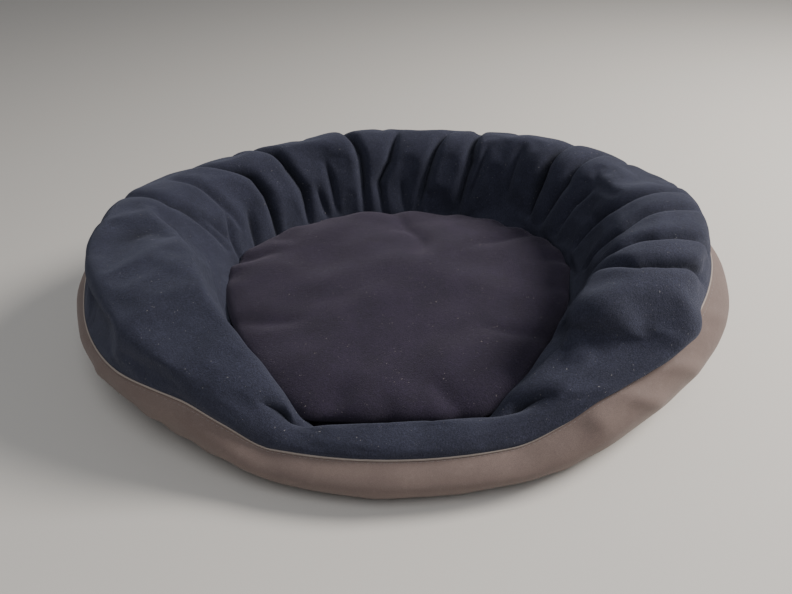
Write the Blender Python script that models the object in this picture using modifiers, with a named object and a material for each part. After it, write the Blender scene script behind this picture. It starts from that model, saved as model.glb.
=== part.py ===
"""Oval pet bed: soft padded wall with a low entrance, and a loose zipped cushion.

Metres, +Z up. The bed stands on z = 0, its entrance faces -Y, and x = 0 is its plane of symmetry.
A turn is an angle round the bed, measured from the middle of the entrance.
"""
import math

import bmesh
import bpy
from mathutils import Matrix, Vector

# The wall is a stack of rings, each an oval with its own half width and reach to the front and back.
# One ring has two heights: on the high wall, and on the low entrance sill.
FLOOR_EDGE = dict(side=0.306, front=0.250, back=0.246, wall_z=0.0010, sill_z=0.0010)
LOWER = dict(side=0.331, front=0.263, back=0.259, wall_z=0.022, sill_z=0.012)
BULGE = dict(side=0.350, front=0.270, back=0.270, wall_z=0.070, sill_z=0.027)
UPPER = dict(side=0.343, front=0.264, back=0.264, wall_z=0.094, sill_z=0.038)
SEAM = dict(side=0.323, front=0.250, back=0.246, wall_z=0.113, sill_z=0.047)
SHOULDER = dict(side=0.321, front=0.251, back=0.245, wall_z=0.132, sill_z=0.054)
RIM = dict(side=0.300, front=0.246, back=0.233, wall_z=0.152, sill_z=0.060)
CREST = dict(side=0.268, front=0.235, back=0.212, wall_z=0.160, sill_z=0.063)

# Inside the bed the rings narrow towards the entrance and stop straight along the sill.
SLOPE = dict(side=0.240, front=0.227, back=0.194, wall_z=0.148, sill_z=0.061, hollow=True)
FLANK = dict(side=0.220, front=0.219, back=0.179, wall_z=0.110, sill_z=0.054, hollow=True)
SKIRT = dict(side=0.206, front=0.2145, back=0.169, wall_z=0.060, sill_z=0.041, hollow=True)
FOOT = dict(side=0.203, front=0.213, back=0.167, wall_z=0.0145, sill_z=0.0145, hollow=True)

HOLLOW_CENTRE_Y = 0.02
HOLLOW_TAPER = 1.45        # exponent of the front half: below 2 it draws in towards a point
HOLLOW_DEPTH = 0.285       # where that point would be, in front of the hollow's centre
HOLLOW_SPREAD = 1.15       # how evenly the turns are spread along the front half
HOLLOW_SOFTNESS = 0.010    # rounding where the tapered sides meet the straight sill

SILL_END = math.radians(18)
WALL_START = math.radians(54)
ROUND_STEPS = 64
SILL_FILL_STEPS = 7        # steps either side of the middle of the entrance
FOAM_KEPT_BACK = 3         # steps that the foam stops short of the ends of its filling
TURN_STEP = 0.02

COVER = 0.0016             # thickness of each fabric
FOAM_WALL = 0.025
FOAM_SILL = 0.012
FOAM_BELOW_SEAM = 0.005
GAP = 0.0006               # between pieces that touch on the real bed
STUFFING_GAP = 0.0045      # round the foam, where both it and the filling are faceted
PIPING_RADIUS = 0.0013

PANEL_TOP = 0.0016
BASE_FOAM_TOP = 0.0134
LINER_TOP = 0.0153

CUSHION_CLEARANCE = 0.008  # between the cushion and the foot of the wall
CUSHION_BOTTOM = 0.0160
CUSHION_SEAM = 0.043
CUSHION_CROWN = 0.071
SIDE_ROWS = ((0.0015, 0.052), (0.009, 0.0615))       # how far in from the edge, and height
CROWN_ROWS = ((0.20, 0.0670), (0.55, 0.0702))        # share of the way to the middle, and height
LOWER_EDGE_INSET = 0.003
LOWER_EDGE_Z = 0.024
FILLING_EDGE_Z = 0.028
UNDERSIDE_SHARES = (0.88, 0.74, 0.60, 0.46, 0.32, 0.18, 0.08, 0.0)

ZIP_Y = -0.030
ZIP_Z = 0.0345             # underside of the cover at the zip, drawn up above the liner
ZIP_HALF_LENGTH = 0.130
COIL_WIDTH = 0.0025
COIL_HEIGHT = 0.0022
TAPE_WIDTH = 0.010
TAPE_THICKNESS = 0.0008
STOP_LENGTH = 0.0020
STOP_PROUD = 0.0006
VALLEY_FLAT = 0.010
VALLEY_HALF_WIDTH = 0.060
VALLEY_END_SLOPE = 1.7     # the valley is steeper past the ends of the zip
PANEL_EDGE = 0.0005        # each bottom panel stops this far from the zip line, past the zip's ends
SLOT_HALF_WIDTH = 0.0042
SLOT_HALF_LENGTH = 0.136
CORNER_INSET = 0.012       # from the side of the cushion to where it rests on the liner
FIBRE_LIFT = 0.0068        # the filling lies on the zip tapes
SLIDER_REST_X = -0.118
SLIDER_LENGTH = 0.012
SLIDER_WIDTH = 0.0090
PIVOT_Z = 0.0298
BARREL_RADIUS = 0.0011
BARREL_LENGTH = 0.0036
EAR_THICKNESS = 0.0010
EAR_HALF_WIDTH = 0.0018
EAR_DROP = 0.0016
PULL_LENGTH = 0.0115
PULL_WIDTH = 0.0050
PULL_THICKNESS = 0.0012
PULL_NECK_INSET = 0.0002
PULL_NECK_TOP = 0.0004
PULL_NECK_END = 0.0026
PULL_SHOULDER = 0.0042
PULL_ROUNDING = 0.0018
SLIDER_ROUNDING = 0.0008
STOP_ROUNDING = 0.0004
EAR_OVERLAP = 0.0010       # how far an ear is let into the slider's body


def clear_scene():
    for thing in list(bpy.data.objects):
        bpy.data.objects.remove(thing, do_unlink=True)


clear_scene()
PARTS = bpy.data.collections.new("pet_bed")
CUTTERS = bpy.data.collections.new("cutters")
bpy.context.scene.collection.children.link(PARTS)
bpy.context.scene.collection.children.link(CUTTERS)


def material(name, colour, roughness, metallic=0.0):
    made = bpy.data.materials.new(name)
    made.use_nodes = True
    shader = made.node_tree.nodes["Principled BSDF"]
    shader.inputs["Base Color"].default_value = (*colour, 1.0)
    shader.inputs["Roughness"].default_value = roughness
    shader.inputs["Metallic"].default_value = metallic
    made.diffuse_color = (*colour, 1.0)
    return made


TAUPE = (0.150, 0.112, 0.100)
NAVY = (0.034, 0.036, 0.056)
PLUM = (0.032, 0.029, 0.046)
PIPING = (0.40, 0.36, 0.32)
FOAM = (0.62, 0.58, 0.42)
FIBRE = (0.78, 0.78, 0.76)
ZIP_NAVY = (0.030, 0.032, 0.045)
NICKEL = (0.55, 0.54, 0.52)


def add_part(name, mesh, colour, roughness=0.9, metallic=0.0, parent=None):
    part = bpy.data.objects.new(name, mesh)
    mesh.materials.append(material(name, colour, roughness, metallic))
    PARTS.objects.link(part)
    if parent:
        part.parent = parent
        part.matrix_parent_inverse = Matrix.Translation(-parent.location)
    return part


def joint_empty(name, place):
    empty = bpy.data.objects.new(name, None)
    empty.empty_display_size = 0.02
    empty.location = place
    PARTS.objects.link(empty)
    return empty


# Outlines

def smooth_step(low, high, value):
    share = min(max((value - low) / (high - low), 0.0), 1.0)
    return share * share * (3 - 2 * share)


def wall_share(turn):
    """0 on the low entrance sill, 1 on the high wall."""
    from_front = abs(math.remainder(turn, 2 * math.pi))
    return smooth_step(SILL_END, WALL_START, from_front)


def outer_point(turn, side, front, back):
    across, along = math.sin(turn), -math.cos(turn)
    return side * across, (back if along > 0 else front) * along


def hollow_point(turn, side, front, back):
    across, along = math.sin(turn), -math.cos(turn)
    if along > 0:
        return side * across, HOLLOW_CENTRE_Y + (back - HOLLOW_CENTRE_Y) * along
    share = abs(across) ** HOLLOW_SPREAD
    x = math.copysign(side * share, across)
    tapered = HOLLOW_CENTRE_Y - HOLLOW_DEPTH * (1 - share ** HOLLOW_TAPER) ** (1 / HOLLOW_TAPER)
    difference = tapered + front
    return x, (tapered - front + math.hypot(difference, HOLLOW_SOFTNESS)) / 2


def inset_point(outline, turn, ring, inset):
    """A point of the outline, moved square to it towards the inside."""
    size = (ring["side"], ring["front"], ring["back"])
    point = Vector(outline(turn, *size))
    if inset == 0:
        return point
    ahead = Vector(outline(turn + TURN_STEP, *size)) - Vector(outline(turn - TURN_STEP, *size))
    inwards = Vector((-ahead.y, ahead.x)).normalized()
    return point + inset * inwards


def ring_point(ring, turn, inset=0.0, drop=0.0):
    outline = hollow_point if ring.get("hollow") else outer_point
    x, y = inset_point(outline, turn, ring, inset)
    height = ring["sill_z"] + (ring["wall_z"] - ring["sill_z"]) * wall_share(turn)
    return Vector((x, y, height - drop))


def turns_between(first, last, steps):
    return [first + (last - first) * step / steps for step in range(steps + 1)]


ALL_ROUND = turns_between(0.0, 2 * math.pi, ROUND_STEPS)[:-1]


# Meshes

def finish_mesh(name, build, smooth=True, outward=True):
    mesh = bpy.data.meshes.new(name)
    if outward:
        bmesh.ops.recalc_face_normals(build, faces=build.faces)
    build.to_mesh(mesh)
    build.free()
    if smooth:
        mesh.shade_smooth()
        mesh.set_sharp_from_angle(angle=math.radians(40))
    return mesh


def lofted_sheet(name, rows, first_tip=None, last_tip=None):
    """A surface through closed rows of points, which faces right of the way from row to row."""
    build = bmesh.new()
    grid = [[build.verts.new(point) for point in row] for row in rows]
    count = len(rows[0])
    for near, far in zip(grid, grid[1:]):
        for step in range(count):
            after = (step + 1) % count
            build.faces.new((near[step], near[after], far[after], far[step]))
    for row, tip, back in ((grid[0], first_tip, True), (grid[-1], last_tip, False)):
        if tip is None:
            continue
        point = build.verts.new(tip)
        for step in range(count):
            pair = (row[step], row[(step + 1) % count])
            build.faces.new((*(pair[::-1] if back else pair), point))
    return finish_mesh(name, build, outward=False)


def lofted_solid(name, sections):
    """A bar through sections, each a rail of outer points and a rail of inner points."""
    build = bmesh.new()
    loops = []
    for outer, inner in sections:
        loops.append([build.verts.new(point) for point in outer + inner[::-1]])
    count = len(loops[0])
    for near, far in zip(loops, loops[1:]):
        for step in range(count):
            after = (step + 1) % count
            build.faces.new((near[step], near[after], far[after], far[step]))
    for loop in (loops[0], loops[-1]):
        for step in range(count // 2 - 1):
            build.faces.new((loop[step], loop[step + 1], loop[count - 2 - step], loop[count - 1 - step]))
    return finish_mesh(name, build)


def flat_slab(name, outline, bottom, top):
    """A flat panel of fabric or foam: one outline, made thick."""
    build = bmesh.new()
    face = build.faces.new([build.verts.new((x, y, bottom)) for x, y in outline])
    made = bmesh.ops.extrude_face_region(build, geom=[face])
    raised = [item for item in made["geom"] if isinstance(item, bmesh.types.BMVert)]
    bmesh.ops.translate(build, verts=raised, vec=(0, 0, top - bottom))
    return finish_mesh(name, build, smooth=False)


def box_mesh(name, low, high, rounding=0.0):
    build = bmesh.new()
    bmesh.ops.create_cube(build, size=1.0)
    for vertex in build.verts:
        for axis in range(3):
            vertex.co[axis] = low[axis] if vertex.co[axis] < 0 else high[axis]
    if rounding:
        bmesh.ops.bevel(build, geom=build.edges[:], offset=rounding, segments=2,
                        profile=0.5, affect="EDGES")
    return finish_mesh(name, build, smooth=False)


def give_thickness(part, thickness, outward=False):
    solidify = part.modifiers.new("fabric", "SOLIDIFY")
    solidify.thickness = thickness
    solidify.offset = 1.0 if outward else -1.0
    solidify.use_even_offset = True
    return part


# Wall

def bed_base():
    panel = [inset_point(outer_point, turn, FLOOR_EDGE, COVER + GAP) for turn in ALL_ROUND]
    add_part("bottom_panel", flat_slab("bottom_panel", panel, 0.0, PANEL_TOP), TAUPE)
    inside = [inset_point(hollow_point, turn, FOOT, GAP) for turn in ALL_ROUND]
    foam_bottom = PANEL_TOP + GAP
    liner_bottom = BASE_FOAM_TOP + GAP / 2
    add_part("base_pad_foam", flat_slab("base_pad_foam", inside, foam_bottom, BASE_FOAM_TOP), FOAM)
    add_part("floor_liner", flat_slab("floor_liner", inside, liner_bottom, LINER_TOP), NAVY)


def wall_covers():
    outer_rings = (FLOOR_EDGE, LOWER, BULGE, UPPER, SEAM)
    rows = [[ring_point(ring, turn) for turn in ALL_ROUND] for ring in outer_rings]
    cover = add_part("outer_wall_cover", lofted_sheet("outer_wall_cover", rows), TAUPE, 0.85)
    give_thickness(cover, COVER)

    seam_lift = -2 * PIPING_RADIUS
    rows = [[ring_point(SEAM, turn, inset=COVER / 2, drop=seam_lift) for turn in ALL_ROUND]]
    for ring in (SHOULDER, RIM, CREST, SLOPE, FLANK, SKIRT, FOOT):
        rows.append([ring_point(ring, turn) for turn in ALL_ROUND])
    cover = add_part("inner_wall_cover", lofted_sheet("inner_wall_cover", rows), NAVY, 0.95)
    give_thickness(cover, COVER)


def rim_piping():
    curve = bpy.data.curves.new("rim_seam_piping", "CURVE")
    curve.dimensions = "3D"
    curve.bevel_depth = PIPING_RADIUS
    curve.bevel_resolution = 1
    line = curve.splines.new("POLY")
    line.points.add(len(ALL_ROUND) - 1)
    outset = -(PIPING_RADIUS + GAP)
    for point, turn in zip(line.points, ALL_ROUND):
        point.co = (*ring_point(SEAM, turn, inset=outset, drop=-PIPING_RADIUS), 1.0)
    line.use_cyclic_u = True
    add_part("rim_seam_piping", curve, PIPING, 0.8)


def filling_section(turn, foam):
    """Fibre between the foam strip and the inner cover."""
    behind_foam = COVER + foam + STUFFING_GAP
    under_cover = COVER + 5 * GAP
    bottom = PANEL_TOP + GAP
    outer = [ring_point(ring, turn, behind_foam) for ring in (FLOOR_EDGE, BULGE, UPPER)]
    outer += [ring_point(SEAM, turn, behind_foam, drop=FOAM_BELOW_SEAM),
              ring_point(SHOULDER, turn, 0.006, drop=under_cover),
              ring_point(RIM, turn, under_cover, drop=2 * under_cover)]
    inner = [ring_point(FOOT, turn, -under_cover), ring_point(SKIRT, turn, -under_cover, drop=0.02),
             ring_point(SKIRT, turn, -under_cover), ring_point(FLANK, turn, -under_cover, drop=COVER),
             ring_point(SLOPE, turn, -under_cover, drop=2 * under_cover),
             ring_point(CREST, turn, drop=2 * under_cover)]
    outer[0].z = bottom
    inner[0].z = bottom
    return outer, inner


def foam_section(turn, foam):
    """Foam strip that stands just inside the outer cover."""
    under_cover = COVER + 3 * GAP
    rings = (FLOOR_EDGE, LOWER, BULGE, UPPER, SEAM)
    outer = [ring_point(ring, turn, under_cover) for ring in rings]
    inner = [ring_point(ring, turn, under_cover + foam) for ring in rings]
    for rail in (outer, inner):
        rail[0].z = PANEL_TOP + GAP
        rail[-1].z -= FOAM_BELOW_SEAM
    return outer, inner


def stuffing_turns(place, kept_back):
    """Stations of a sill or wall piece, which stops some steps short of where it could reach."""
    step = 2 * math.pi / ROUND_STEPS
    if place == "sill":
        steps = SILL_FILL_STEPS - kept_back
        return turns_between(-steps * step, steps * step, 2 * steps)
    start = SILL_FILL_STEPS + 1 + kept_back
    return turns_between(start * step, (ROUND_STEPS - start) * step, ROUND_STEPS - 2 * start)


def wall_stuffing():
    for place, foam in (("wall", FOAM_WALL), ("sill", FOAM_SILL)):
        strip = [foam_section(turn, foam) for turn in stuffing_turns(place, FOAM_KEPT_BACK)]
        add_part(place + "_foam", lofted_solid(place + "_foam", strip), FOAM)
        fibre = [filling_section(turn, foam) for turn in stuffing_turns(place, 0)]
        add_part(place + "_filling", lofted_solid(place + "_filling", fibre), FIBRE)


# Cushion

def cushion_row(inset, height):
    inset += CUSHION_CLEARANCE
    return [Vector((*inset_point(hollow_point, turn, FOOT, inset), height)) for turn in ALL_ROUND]


def drawn_in(row, share, height):
    """The row, brought part of the way to the middle of the cushion."""
    middle = Vector((0, ZIP_Y))
    return [Vector((*point.xy.lerp(middle, share), height)) for point in row]


def valley_height(point):
    """The underside rises to the zip from where the cushion rests on the liner."""
    past_end = VALLEY_END_SLOPE * max(abs(point.x) - SLOT_HALF_LENGTH, 0.0)
    away = math.hypot(past_end, point.y - ZIP_Y)
    return ZIP_Z - (ZIP_Z - CUSHION_BOTTOM) * smooth_step(VALLEY_FLAT, VALLEY_HALF_WIDTH, away)


def underside_rows(inset, lift):
    """Rows from the middle of the underside out to the corner of the cushion."""
    corner = cushion_row(CORNER_INSET + inset, 0.0)
    rows = [drawn_in(corner, share, 0.0) for share in UNDERSIDE_SHARES]
    for row in rows:
        for point in row:
            point.z = valley_height(point) + lift
    return rows


def top_rows(inset, drop):
    """Rows from the side seam up towards the crown."""
    rows = [cushion_row(inset + row_inset, height - drop) for row_inset, height in SIDE_ROWS]
    shoulder = rows[-1]
    return rows + [drawn_in(shoulder, share, height - drop) for share, height in CROWN_ROWS]


def cushion_top(parent):
    rows = [cushion_row(0.0, CUSHION_SEAM + GAP / 2), *top_rows(0.0, 0.0)]
    mesh = lofted_sheet("cushion_top_cover", rows, last_tip=(0, ZIP_Y, CUSHION_CROWN))
    give_thickness(add_part("cushion_top_cover", mesh, PLUM, 0.95, parent=parent), COVER)


def zip_cutter(side):
    """Everything on the far side of the zip, and the slot that the zip shows through."""
    reach = 0.5
    edge = ZIP_Y + side * PANEL_EDGE
    far = ZIP_Y - side * reach
    low, high = min(edge, far), max(edge, far)
    beyond = box_mesh("beyond_zip", (-reach, low, -reach), (reach, high, reach))
    cutter = bpy.data.objects.new("beyond_zip", beyond)
    edge = ZIP_Y + side * SLOT_HALF_WIDTH
    low, high = min(edge, far), max(edge, far)
    slot = bpy.data.objects.new("slot", box_mesh("slot", (-SLOT_HALF_LENGTH, low, -reach),
                                                 (SLOT_HALF_LENGTH, high, reach)))
    for tool in (cutter, slot):
        tool.hide_render = True
        tool.display_type = "WIRE"
        CUTTERS.objects.link(tool)
    return cutter, slot


def cushion_underside(parent):
    rows = [*underside_rows(0.0, 0.0), cushion_row(LOWER_EDGE_INSET, LOWER_EDGE_Z),
            cushion_row(0.0, CUSHION_SEAM - GAP / 2)]
    for place, side in (("front", -1), ("rear", 1)):
        name = "cushion_bottom_cover_" + place
        mesh = lofted_sheet(name, rows, first_tip=(0, ZIP_Y, ZIP_Z))
        panel = give_thickness(add_part(name, mesh, PLUM, 0.95, parent=parent), COVER)
        for tool in zip_cutter(side):
            cut = panel.modifiers.new(tool.name, "BOOLEAN")
            cut.operation = "DIFFERENCE"
            cut.object = tool


def cushion_fibre(parent):
    inset = COVER + 2 * GAP
    rows = [*underside_rows(inset, FIBRE_LIFT), cushion_row(inset + LOWER_EDGE_INSET, FILLING_EDGE_Z),
            cushion_row(inset, CUSHION_SEAM), *top_rows(inset, inset)]
    mesh = lofted_sheet("cushion_filling", rows, first_tip=(0, ZIP_Y, ZIP_Z + FIBRE_LIFT),
                        last_tip=(0, ZIP_Y, CUSHION_CROWN - inset))
    add_part("cushion_filling", mesh, FIBRE, parent=parent)


# Zip

def zip_strip(name, side, near, far, half_length, bottom, top, parent):
    edges = sorted((ZIP_Y + side * near, ZIP_Y + side * far))
    mesh = box_mesh(name, (-half_length, edges[0], bottom), (half_length, edges[1], top))
    add_part(name, mesh, ZIP_NAVY, 0.6, parent=parent)


def zip_fastener(parent):
    coil_bottom = ZIP_Z + GAP / 2
    tape_bottom = ZIP_Z + COVER + GAP / 2
    coil_edge = GAP / 2 + COIL_WIDTH
    for place, side in (("front", -1), ("rear", 1)):
        zip_strip("zip_coil_" + place, side, GAP / 2, coil_edge, ZIP_HALF_LENGTH,
                  coil_bottom, coil_bottom + COIL_HEIGHT, parent)
        zip_strip("zip_tape_" + place, side, coil_edge + GAP / 2, coil_edge + TAPE_WIDTH,
                  ZIP_HALF_LENGTH + STOP_LENGTH + GAP, tape_bottom, tape_bottom + TAPE_THICKNESS, parent)
    for place, side in (("closed", -1), ("open", 1)):
        ends = sorted(side * (ZIP_HALF_LENGTH + near) for near in (GAP, GAP + STOP_LENGTH))
        name = "zip_end_stop_" + place
        mesh = box_mesh(name, (ends[0], ZIP_Y - coil_edge, coil_bottom - STOP_PROUD),
                        (ends[1], ZIP_Y + coil_edge, coil_bottom + COIL_HEIGHT), rounding=STOP_ROUNDING)
        add_part(name, mesh, NICKEL, 0.35, 1.0, parent=parent)


def join(part, tool_mesh):
    """Make one body of the part and a second mesh."""
    tool = bpy.data.objects.new(part.name + "_joined", tool_mesh)
    tool.hide_render = True
    tool.display_type = "WIRE"
    CUTTERS.objects.link(tool)
    union = part.modifiers.new(tool.name, "BOOLEAN")
    union.operation = "UNION"
    union.object = tool


def slider_body(parent):
    top = ZIP_Z - GAP
    bottom = PIVOT_Z + BARREL_RADIUS + GAP / 2
    half = SLIDER_LENGTH / 2
    mesh = box_mesh("zip_slider", (SLIDER_REST_X - half, ZIP_Y - SLIDER_WIDTH / 2, bottom),
                    (SLIDER_REST_X + half, ZIP_Y + SLIDER_WIDTH / 2, top), rounding=SLIDER_ROUNDING)
    slider = add_part("zip_slider", mesh, NICKEL, 0.35, 1.0, parent=parent)
    inner = BARREL_LENGTH / 2 + GAP / 2
    for side in (-1, 1):
        edges = sorted(ZIP_Y + side * near for near in (inner, inner + EAR_THICKNESS))
        join(slider, box_mesh("slider_ear", (SLIDER_REST_X - EAR_HALF_WIDTH, edges[0], PIVOT_Z - EAR_DROP),
                              (SLIDER_REST_X + EAR_HALF_WIDTH, edges[1], bottom + EAR_OVERLAP)))


def pull_tab(parent):
    """A flat tab that hangs from a barrel between the slider's ears."""
    build = bmesh.new()
    bmesh.ops.create_cone(build, cap_ends=True, segments=20, radius1=BARREL_RADIUS,
                          radius2=BARREL_RADIUS, depth=BARREL_LENGTH)
    bmesh.ops.rotate(build, verts=build.verts, matrix=Matrix.Rotation(math.pi / 2, 3, "X"))
    bmesh.ops.translate(build, verts=build.verts, vec=(SLIDER_REST_X, ZIP_Y, PIVOT_Z))
    pull = add_part("zip_pull", finish_mesh("zip_pull", build), NICKEL, 0.35, 1.0, parent=parent)

    neck = BARREL_LENGTH / 2 - PULL_NECK_INSET
    wide = PULL_WIDTH / 2
    half_outline = [(neck, PULL_NECK_TOP), (neck, PULL_NECK_END), (wide, PULL_SHOULDER),
                    (wide, PULL_LENGTH - 2 * PULL_ROUNDING / 3),
                    (wide - PULL_ROUNDING / 2, PULL_LENGTH - PULL_ROUNDING / 6),
                    (wide - PULL_ROUNDING, PULL_LENGTH)]
    outline = half_outline + [(-across, below) for across, below in half_outline[::-1]]
    build = bmesh.new()
    face = build.faces.new([build.verts.new((SLIDER_REST_X - PULL_THICKNESS / 2, ZIP_Y + across,
                                             PIVOT_Z - below)) for across, below in outline])
    made = bmesh.ops.extrude_face_region(build, geom=[face])
    raised = [item for item in made["geom"] if isinstance(item, bmesh.types.BMVert)]
    bmesh.ops.translate(build, verts=raised, vec=(PULL_THICKNESS, 0, 0))
    join(pull, finish_mesh("pull_plate", build, smooth=False))


def build_bed():
    bed_base()
    wall_covers()
    rim_piping()
    wall_stuffing()
    cushion = joint_empty("cushion_lift", (0, ZIP_Y, CUSHION_BOTTOM))
    cushion_top(cushion)
    cushion_underside(cushion)
    cushion_fibre(cushion)
    zip_fastener(cushion)
    slider_body(joint_empty("zip_travel", (SLIDER_REST_X, ZIP_Y, ZIP_Z)))
    pull_tab(joint_empty("zip_pull_swing", (SLIDER_REST_X, ZIP_Y, PIVOT_Z)))


build_bed()
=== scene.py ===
import math

import bmesh
import bpy
import numpy as np
from mathutils import Matrix, Vector


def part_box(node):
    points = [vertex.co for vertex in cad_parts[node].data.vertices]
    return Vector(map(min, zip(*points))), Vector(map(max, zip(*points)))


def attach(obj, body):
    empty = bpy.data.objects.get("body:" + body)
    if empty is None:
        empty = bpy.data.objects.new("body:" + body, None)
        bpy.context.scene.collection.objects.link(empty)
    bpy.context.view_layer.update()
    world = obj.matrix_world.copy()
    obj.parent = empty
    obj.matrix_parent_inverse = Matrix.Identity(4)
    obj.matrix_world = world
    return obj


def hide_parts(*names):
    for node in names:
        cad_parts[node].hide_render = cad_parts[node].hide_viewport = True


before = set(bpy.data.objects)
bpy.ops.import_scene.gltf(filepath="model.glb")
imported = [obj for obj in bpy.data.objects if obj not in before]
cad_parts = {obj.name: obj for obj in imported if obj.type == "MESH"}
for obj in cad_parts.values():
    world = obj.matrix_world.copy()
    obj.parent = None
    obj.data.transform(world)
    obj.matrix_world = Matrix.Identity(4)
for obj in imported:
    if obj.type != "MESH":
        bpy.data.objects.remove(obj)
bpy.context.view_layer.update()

mm = 0.001
weld = 0.00002


# Small sums that every piece uses. A turn is the angle round the bed, from the middle of the
# entrance: 0 is the front, 90 the right side, 180 the back and 270 the left side.

def smoothStep(low, high, value):
    share = np.clip((np.asarray(value, float) - low) / (high - low), 0.0, 1.0)
    return share * share * (3 - 2 * share)


def bump(centre, width, value):
    return np.exp(-((np.asarray(value, float) - centre) / width) ** 2)


def throughStations(stations, turns):
    # a smooth value round the bed from a few (turn in degrees, value) stations
    places = np.array([place for place, value in stations], float)
    values = np.array([value for place, value in stations], float)
    places = np.concatenate([places - 360, places, places + 360])
    values = np.tile(values, 3)
    steps = np.diff(values) / np.diff(places)
    slopes = np.zeros(len(values))
    same = steps[:-1] * steps[1:] > 0
    slopes[1:-1][same] = 2 * (steps[:-1] * steps[1:])[same] / (steps[:-1] + steps[1:])[same]
    asked = np.degrees(turns) % 360
    index = np.clip(np.searchsorted(places, asked, side="right") - 1, 0, len(places) - 2)
    span = places[index + 1] - places[index]
    share = (asked - places[index]) / span
    start = (1 + 2 * share) * (1 - share) ** 2 * values[index]
    end = share ** 2 * (3 - 2 * share) * values[index + 1]
    lean = share * (1 - share) ** 2 * slopes[index] - share ** 2 * (1 - share) * slopes[index + 1]
    return start + end + span * lean


def ovalOutline(turns, side, front, back):
    x, y = side * np.sin(turns), -np.cos(turns)
    return np.stack([x, y * np.where(y > 0, back, front)], axis=-1)


def outsetBy(outline, distance):
    return outline * (1 + distance / np.linalg.norm(outline, axis=-1))[..., None]


def standing(outline, heights):
    # points of an outline at their heights
    return np.concatenate([outline, np.broadcast_to(heights, len(outline))[:, None]], axis=1)


hollow = {
    "side": 0.203, "front": 0.213, "back": 0.167, "centre": 0.02,
    "taper": 1.45, "depth": 0.285, "spread": 1.15, "softness": 0.010,
}


def hollowOutline(turns, inset=0.0):
    # the sleeping hollow: half an ellipse behind, narrowing to the straight sill in front
    across, along = np.sin(turns), -np.cos(turns)
    share = np.minimum(np.abs(across) ** hollow["spread"], 1)
    side, front = hollow["side"] - inset, hollow["front"] - inset
    narrowing = (1 - share ** hollow["taper"]) ** (1 / hollow["taper"])
    tapered = hollow["centre"] - (hollow["depth"] - inset) * narrowing
    flat = (tapered - front + np.hypot(tapered + front, hollow["softness"])) / 2
    rear = hollow["centre"] + (hollow["back"] - inset - hollow["centre"]) * along
    x = np.where(along > 0, side * across, np.sign(across) * side * share)
    return np.stack([x, np.where(along > 0, rear, flat)], axis=-1)


def smoothRows(points, count, samples=24):
    # a smooth curve through the rows, and then rows evenly spaced along it
    padded = np.concatenate([2 * points[:1] - points[1:2], points, 2 * points[-1:] - points[-2:-1]])
    fine = []
    for k in range(len(points) - 1):
        p0, p1, p2, p3 = padded[k:k + 4]
        for i in range(samples):
            t = i / samples
            fine.append(0.5 * (2 * p1 + (p2 - p0) * t + (2 * p0 - 5 * p1 + 4 * p2 - p3) * t * t
                               + (3 * p1 - p0 - 3 * p2 + p3) * t ** 3))
    fine = np.array(fine + [points[-1]])
    lengths = np.linalg.norm(np.diff(fine, axis=0), axis=2)
    along = np.concatenate([np.zeros((1, fine.shape[1])), np.cumsum(lengths, axis=0)])
    rows = np.empty((count, fine.shape[1], 3))
    for column in range(fine.shape[1]):
        asked = np.linspace(0, along[-1, column], count)
        for axis in range(3):
            rows[:, column, axis] = np.interp(asked, along[:, column], fine[:, column, axis])
    return rows


def evenTurns(outline, count, samples=2881):
    # turns whose points on the outline are evenly spaced
    fine = np.linspace(0, 2 * math.pi, samples)
    points = outline(fine)
    along = np.concatenate([[0], np.cumsum(np.linalg.norm(np.diff(points, axis=0), axis=1))])
    return np.interp(np.arange(count) / count * along[-1], along, fine)


def rowNormals(rows):
    # outward normals of a surface given as rows that run round the bed
    around = np.roll(rows, -1, axis=1) - np.roll(rows, 1, axis=1)
    down = np.gradient(rows, axis=0)
    normals = np.cross(around, down)
    return normals / (np.linalg.norm(normals, axis=2, keepdims=True) + 1e-12)


def smoothed(rows, passes, strength=0.5):
    for turn in range(passes):
        mean = (np.roll(rows, 1, axis=1) + np.roll(rows, -1, axis=1)) / 4
        mean[1:-1] += (rows[:-2] + rows[2:]) / 4
        rows = np.concatenate([rows[:1], (rows + strength * (mean - rows))[1:-1], rows[-1:]])
    return rows


def finerRows(rows, count, columns):
    # the same surface with more rows and columns, along smooth curves
    rows = smoothRows(rows, count, 6)
    asked = np.arange(columns) / columns * rows.shape[1]
    first = np.floor(asked).astype(int)
    t = (asked - first)[None, :, None]
    p0, p1, p2, p3 = (rows[:, (first + step) % rows.shape[1]] for step in (-1, 0, 1, 2))
    return 0.5 * (2 * p1 + (p2 - p0) * t + (2 * p0 - 5 * p1 + 4 * p2 - p3) * t * t
                  + (3 * p1 - p0 - 3 * p2 + p3) * t ** 3)


def unevenness(points, wavelength, seed, waves=14, lengths=(0.7, 1.6)):
    # a few waves of many directions, as sewn and stuffed cloth has
    source = np.random.default_rng(seed)
    total = np.zeros(points.shape[:-1])
    for wave in range(waves):
        direction = source.normal(size=3)
        direction /= np.linalg.norm(direction)
        length = wavelength * source.uniform(*lengths)
        total += np.sin(points @ direction * (2 * math.pi / length) + source.uniform(0, 2 * math.pi))
    return total / math.sqrt(waves)


def uneven(points, *layers):
    # each layer is (height in millimetres, wavelength, seed)
    return sum(height * mm * unevenness(points, length, seed) for height, length, seed in layers)


# Meshes

def makeObject(name, points, faces, edges=()):
    mesh = bpy.data.meshes.new(name)
    mesh.from_pydata([tuple(point) for point in points], edges, faces)
    mesh.update()
    thing = bpy.data.objects.new(name, mesh)
    bpy.context.scene.collection.objects.link(thing)
    return thing


def ringFaces(rowCount, columnCount):
    faces = []
    for row in range(rowCount - 1):
        for column in range(columnCount):
            after = (column + 1) % columnCount
            first, second = row * columnCount, (row + 1) * columnCount
            faces.append((first + column, second + column, second + after, first + after))
    return faces


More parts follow.
